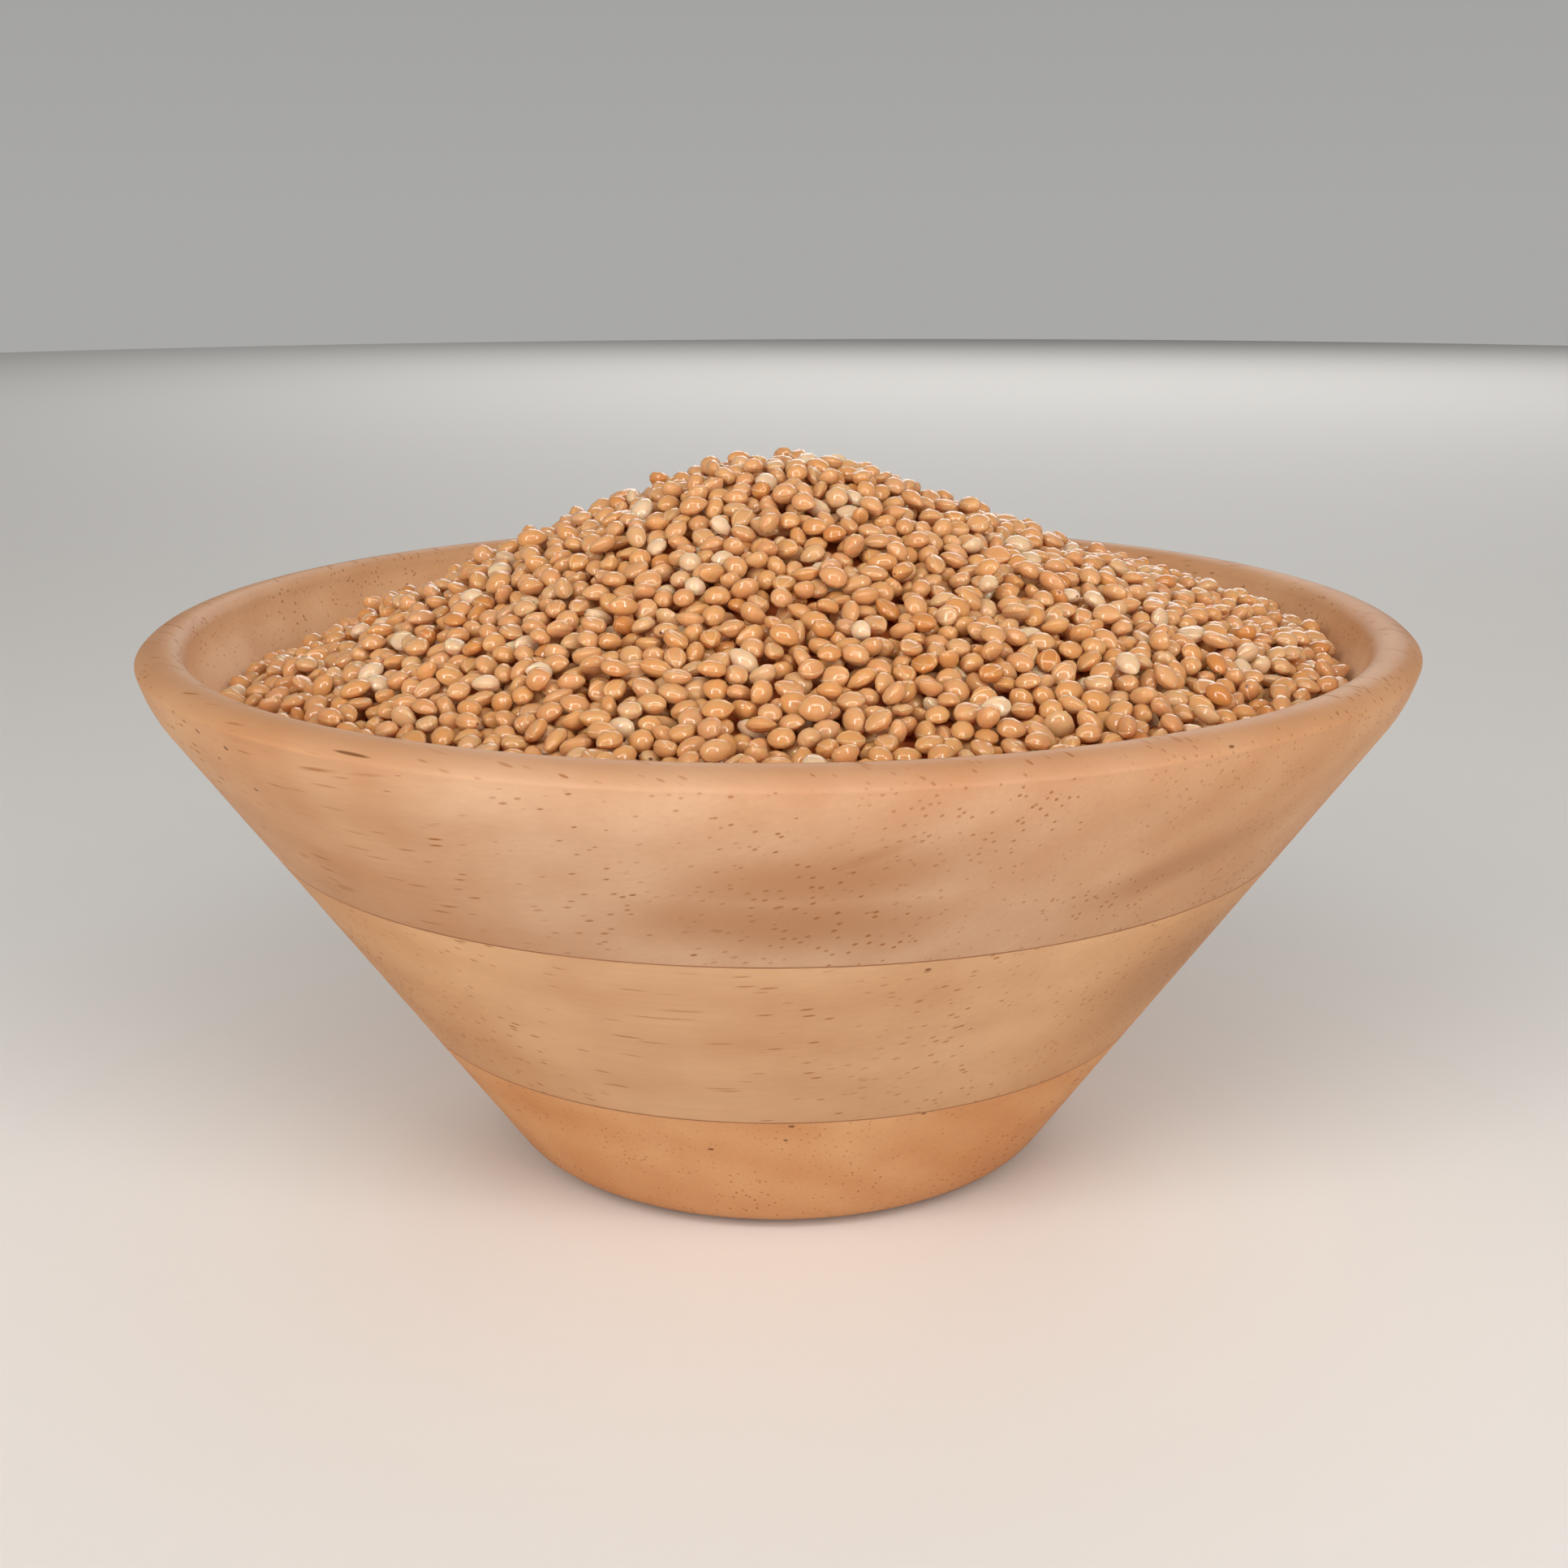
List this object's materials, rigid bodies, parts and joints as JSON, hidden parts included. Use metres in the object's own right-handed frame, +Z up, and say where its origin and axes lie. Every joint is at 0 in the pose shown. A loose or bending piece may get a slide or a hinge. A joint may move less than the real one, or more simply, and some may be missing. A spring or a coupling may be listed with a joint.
{
  "type": "dish of millet",
  "caption": "Small round wooden bowl with straight sloping sides, a flat base and a rounded lip, heaped above its rim with whole millet grains.",
  "frame": {"origin": "centre of the bowl's flat base, on the surface it stands on", "axes": "+Z up along the bowl's axis, front of the pictured side towards -Y, +X to the right"},
  "size_m": [0.14, 0.14, 0.0787],
  "materials": {
    "base_board_wood": "satin, sanded and oiled",
    "middle_board_wood": "satin, sanded and oiled",
    "rim_board_wood": "satin, sanded and oiled",
    "millet_grain": "smooth, softly glossy grain husk"
  },
  "bodies": {
    "root": {"bowl_base_layer": "base_board_wood", "bowl_middle_layer": "middle_board_wood", "bowl_rim_layer": "rim_board_wood", "millet_heap": "millet_grain"}
  },
  "joints": []
}
